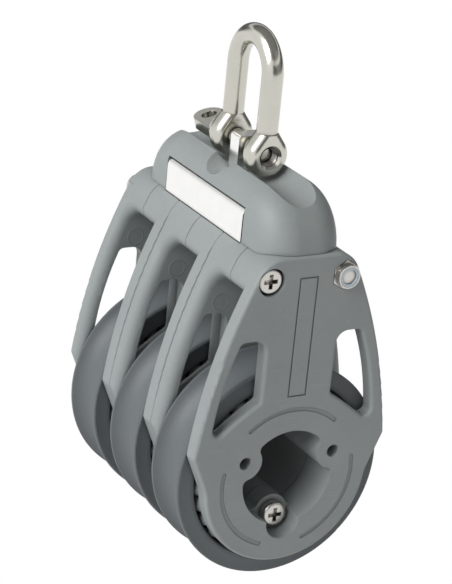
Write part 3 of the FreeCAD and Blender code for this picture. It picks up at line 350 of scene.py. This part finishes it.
shell = moulded_plastic("shell_plastic", shell_grey, shell_roughness)
tree = shell.tree
along = plug(tree, add(tree, "ShaderNodeSeparateXYZ"), Vector=shell.position)
in_module = calc(tree, "WRAP", along.outputs["Y"], half_module, -half_module)
joint = line_mask(tree, in_module, 0.0, joint_half_width)
from_middle = calc(tree, "ABSOLUTE", along.outputs["X"])
across = calc(tree, "SUBTRACT", from_middle, ejector_reach)
upward = calc(tree, "SUBTRACT", along.outputs["Z"], ejector_height)
distance = length_of(tree, across, upward)
on_wall = line_mask(tree, in_module, inner_wall, wall_reach)
ring = calc(tree, "MULTIPLY", line_mask(tree, distance, ejector_radius, ejector_rim), on_wall)
disc = calc(tree, "MULTIPLY", calc(tree, "LESS_THAN", distance, ejector_radius), on_wall)
colour = blend_colours(tree, "MIX", calc(tree, "MULTIPLY", joint, joint_share), shell.colour, joint_grey)
colour = blend_colours(tree, "MIX", calc(tree, "MULTIPLY", disc, ejector_share), colour, ejector_grey)
tree.links.new(colour, shell.surface.inputs["Base Color"])
relief = calc(tree, "SUBTRACT", calc(tree, "MULTIPLY", ring, rim_depth_share),
              calc(tree, "MULTIPLY", disc, disc_depth_share))
relief = calc(tree, "SUBTRACT", relief, joint)
pressed = plug(tree, add(tree, "ShaderNodeBump", Distance=mark_depth), Height=relief,
               Normal=shell.grain.outputs["Normal"])
tree.links.new(pressed.outputs[0], shell.surface.inputs["Normal"])
finish_material(tree, shell.surface)


def paint(finish, *prefixes):
    """Gives a material to every CAD node whose name starts with one of the prefixes."""
    for name, node in nodes.items():
        if name.startswith(prefixes):
            node.data.materials.clear()
            node.data.materials.append(finish)


paint(shell.material, "front_shell", "rear_shell")

# Sheaves: turned and moulded grey acetal wheels, a shade darker and smoother than the shells. Fine
# rings run round the axle on the flanks, and the rope has rubbed its groove a little paler.
sheave_grey = (0.128, 0.142, 0.148)
sheave_roughness = 0.46
rubbed_grey = (0.185, 0.205, 0.212)
rubbed_share = 0.35
rope_root = 0.0265
rubbed_reach = 0.0030
groove_bottom = 0.0262
rings_per_metre = 2600.0
ring_slant = 0.6
ring_depth = 6e-6

sheave = moulded_plastic("sheave_plastic", sheave_grey, sheave_roughness, grain_size=0.0005, change=0.04)
tree = sheave.tree
along = plug(tree, add(tree, "ShaderNodeSeparateXYZ"), Vector=sheave.position)
radius = length_of(tree, along.outputs["X"], along.outputs["Z"])
turned = plug(tree, add(tree, "ShaderNodeCombineXYZ"), X=radius,
              Y=calc(tree, "MULTIPLY", along.outputs["Y"], ring_slant))
rings = plug(tree, add(tree, "ShaderNodeTexNoise", Scale=rings_per_metre, Detail=3.0),
             Vector=turned.outputs[0])
bump = plug(tree, add(tree, "ShaderNodeBump", Distance=ring_depth), Height=rings.outputs[0],
            Normal=sheave.grain.outputs["Normal"])
tree.links.new(bump.outputs[0], sheave.surface.inputs["Normal"])
in_groove = add(tree, "ShaderNodeMapRange", interpolation_type="SMOOTHSTEP")
in_groove.inputs["From Min"].default_value = rope_root + rubbed_reach
in_groove.inputs["From Max"].default_value = rope_root
tree.links.new(radius, in_groove.inputs["Value"])
above_bottom = calc(tree, "GREATER_THAN", radius, groove_bottom)
rubbed = calc(tree, "MULTIPLY", in_groove.outputs["Result"], above_bottom)
colour = blend_colours(tree, "MIX", calc(tree, "MULTIPLY", rubbed, rubbed_share), sheave.colour, rubbed_grey)
tree.links.new(colour, sheave.surface.inputs["Base Color"])
finish_material(tree, sheave.surface)
paint(sheave.material, "sheave_")

# Balls: moulded acetal balls, loose between the races. They are smooth and slightly glossy with a
# trace of dust.
ball_grey = (0.30, 0.325, 0.33)
ball_roughness = 0.34

ball = moulded_plastic("ball_plastic", ball_grey, ball_roughness, grain_size=0.0003, change=0.08)
finish_material(ball.tree, ball.surface)
paint(ball.material, "balls_")

# Fasteners: hub screws, long bolts and lock nuts of stainless steel, turned and cold headed. They
# have a duller grain and painted shade darkening their recesses.
stainless_tint = (0.62, 0.60, 0.565)
stainless_roughness = 0.27
# Colour of the painted shade in the metal's recesses and creases.
recess_shade_colour = (0.05, 0.045, 0.035)


def metal(name, tint, roughness, grain_size, grain_depth, change):
    """A metal with mottle, painted shade in recesses and grain, given with its parts for later changes."""
    made, tree = new_material(name)
    position = add(tree, "ShaderNodeTexCoord").outputs["Object"]
    tone = use_group(tree, mottle, Position=position, Patch_size=0.005, Change=change)
    colour = blend_colours(tree, "MULTIPLY", 1.0, tint, tone.outputs["Tone"])
    # Painted shade: the tint goes nearly black in recesses and creases, by how shut in they are.
    recess_shading = use_group(tree, painted_recess_shade, Reach=0.0011, Hardness=1.3)
    colour = blend_colours(tree, "MIX", calc(tree, "MINIMUM", recess_shading.outputs["Mask"], 0.85), colour, recess_shade_colour)
    grain = use_group(tree, moulded_grain, Position=position, Grain_size=grain_size,
                      Grain_depth=grain_depth, Edge_radius=0.00016)
    surface = add(tree, "ShaderNodeBsdfPrincipled", Metallic=1.0)
    tree.links.new(colour, surface.inputs["Base Color"])
    tree.links.new(calc(tree, "MULTIPLY_ADD", grain.outputs["Grain"], 0.12, roughness - 0.06),
                   surface.inputs["Roughness"])
    tree.links.new(grain.outputs["Normal"], surface.inputs["Normal"])
    return SimpleNamespace(material=made, tree=tree, position=position, grain=grain, surface=surface)


stainless = metal("stainless", stainless_tint, stainless_roughness, 0.0002, 4e-6, 0.07)
finish_material(stainless.tree, stainless.surface)
paint(stainless.material, "hub_screws", "long_bolt", "lock_nut")

# Locking rings: pale nylon rings pressed into the collars of the nuts. They are slightly
# see-through.
ring_nylon = (0.62, 0.70, 0.76)
ring_roughness = 0.38

nylon = moulded_plastic("nylon", ring_nylon, ring_roughness, change=0.03)
nylon.surface.inputs["Subsurface Weight"].default_value = 0.25
nylon.surface.inputs["Subsurface Radius"].default_value = (0.8, 0.9, 1.0)
nylon.surface.inputs["Subsurface Scale"].default_value = 0.0006
finish_material(nylon.tree, nylon.surface)
paint(nylon.material, "locking_ring")

# Strap and post: folded stainless sheet and a milled post, ground and then polished. Grinding marks
# run along the block on the strap and upright on the post.
polished_tint = (0.95, 0.945, 0.925)
polished_roughness = 0.20
marks_per_metre = 4000.0
mark_stretch = 0.03
grinding_depth = 1.5e-6


def ground_metal(name, stretch):
    """Polished steel with grinding marks drawn out along one direction."""
    steel = metal(name, polished_tint, polished_roughness, 0.0006, 2e-6, 0.03)
    tree = steel.tree
    drawn = add(tree, "ShaderNodeMapping")
    drawn.inputs["Scale"].default_value = stretch
    plug(tree, drawn, Vector=steel.position)
    lines = plug(tree, add(tree, "ShaderNodeTexNoise", Scale=marks_per_metre, Detail=2.0),
                 Vector=drawn.outputs[0])
    bump = plug(tree, add(tree, "ShaderNodeBump", Distance=grinding_depth), Height=lines.outputs[0],
                Normal=steel.grain.outputs["Normal"])
    tree.links.new(bump.outputs[0], steel.surface.inputs["Normal"])
    finish_material(tree, steel.surface)
    return steel.material


paint(ground_metal("ground_strap", (1.0, mark_stretch, 1.0)), "load_strap")
paint(ground_metal("ground_post", (1.0, 1.0, mark_stretch)), "shackle_post")

# Head: one moulding of the same nylon as the shells, over the strap and the post. It is a little
# smoother, with the same soft handling wear.
head_grey = (0.315, 0.343, 0.340)
head_roughness = 0.47

head = moulded_plastic("head_plastic", head_grey, head_roughness)
finish_material(head.tree, head.surface)
paint(head.material, "head")

# Shackle bow and pin: forged stainless steel, tumbled and polished. Reflections waver a little, and
# fine polishing marks and pits show in them.
bow_tint = (0.60, 0.59, 0.53)
bow_roughness = 0.20
pits_per_metre = 2600.0
pit_depth = 3e-6

bow = metal("polished_steel", bow_tint, bow_roughness, 0.0011, 9e-6, 0.03)
tree = bow.tree
pits = plug(tree, add(tree, "ShaderNodeTexNoise", Scale=pits_per_metre, Detail=4.0, Roughness=0.7),
            Vector=bow.position)
pitted = ramp(tree, pits.outputs[0], [(0.0, 0.0), (0.30, 0.0), (0.42, 1.0)])
bump = plug(tree, add(tree, "ShaderNodeBump", Distance=pit_depth), Height=pitted,
            Normal=bow.grain.outputs["Normal"])
tree.links.new(bump.outputs[0], bow.surface.inputs["Normal"])
finish_material(tree, bow.surface)
paint(bow.material, "shackle_bow", "shackle_pin")

# Thread in the front ear of the shackle: the open end of the tapped hole, from the chamfered mouth
# down to the tip of the pin. Cut metric thread, dull between its crests.
thread_tint = (0.55, 0.54, 0.52)
thread_roughness = 0.3
thread_pitch = 0.0008
thread_root = 0.002495
thread_crest = 0.00212
thread_from = -0.01155
thread_to = -0.00895
pin_height = 0.080
thread_columns = 96
thread_rows = 73
flank_slope = 1.35
root_width = 0.15


def threaded_hole(name, centre, first, last, root, crest, pitch):
    """Screw thread inside a hole along Y as one surface of turn a and length s.

    Point: centre + (r cos a, s, r sin a), r = root - (root - crest) * h * f. With the triangle wave
    w of (s / pitch - a / 2 pi), h = flank_slope * w - root_width, kept within 0 and 1, and f rises
    from 0 to 1 over the first pitch at the mouth.
    """
    turns = np.linspace(0.0, 2.0 * np.pi, thread_columns + 1)[:-1]
    lengths = np.linspace(first, last, thread_rows)
    a, s = np.meshgrid(turns, lengths)
    phase = (s / pitch - a / (2.0 * np.pi)) % 1.0
    wave = np.clip(flank_slope * (1.0 - np.abs(2.0 * phase - 1.0)) - root_width, 0.0, 1.0)
    fade = np.clip((s - first) / pitch, 0.0, 1.0)
    r = root - (root - crest) * wave * fade
    points = np.stack([centre[0] + r * np.cos(a), s, centre[1] + r * np.sin(a)], axis=-1)
    return tube_mesh(name, points)


def tube_mesh(name, points):
    """Quad mesh on a grid of points, closed round its second direction."""
    rows, columns = points.shape[:2]
    index = np.arange(rows * columns).reshape(rows, columns)
    nearest = np.roll(index, -1, axis=1)
    quads = np.stack([index[:-1], nearest[:-1], nearest[1:], index[1:]], axis=-1).reshape(-1, 4)
    mesh = bpy.data.meshes.new(name)
    mesh.from_pydata(points.reshape(-1, 3), [], quads)
    mesh.polygons.foreach_set("use_smooth", np.ones(len(quads), dtype=bool))
    mesh.update()
    obj = bpy.data.objects.new(name, mesh)
    bpy.context.scene.collection.objects.link(obj)
    return obj


ear_thread = threaded_hole("ear_thread", (0.0, pin_height), thread_from, thread_to, thread_root,
                           thread_crest, thread_pitch)
thread_steel = metal("cut_steel", thread_tint, thread_roughness, 0.0003, 3e-6, 0.08)
finish_material(thread_steel.tree, thread_steel.surface)
ear_thread.data.materials.append(thread_steel.material)
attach(ear_thread, "shackle")

# The floor: a white sheet far below that only sends light back up. The camera and reflections see
# it as plain white.
floor_level = -0.45
floor_reach = 4
floor_grey = (0.9, 0.9, 0.9)

corners = [(-1, -1), (1, -1), (1, 1), (-1, 1)]
floor_mesh = bpy.data.meshes.new("floor")
floor_mesh.from_pydata([(x * floor_reach, y * floor_reach, floor_level) for x, y in corners], [],
                       [(0, 1, 2, 3)])
floor = bpy.data.objects.new("floor", floor_mesh)
bpy.context.scene.collection.objects.link(floor)
floor_paint, tree = new_material("floor_paint")
surface = add(tree, "ShaderNodeBsdfPrincipled", Roughness=0.9)
surface.inputs["Base Color"].default_value = (*floor_grey, 1)
glow = add(tree, "ShaderNodeEmission")
path = add(tree, "ShaderNodeLightPath")
seen_directly = calc(tree, "MAXIMUM", path.outputs["Is Camera Ray"], path.outputs["Is Glossy Ray"])
finish_material(tree, mix_shaders(tree, seen_directly, surface, glow))
floor.data.materials.append(floor_paint)
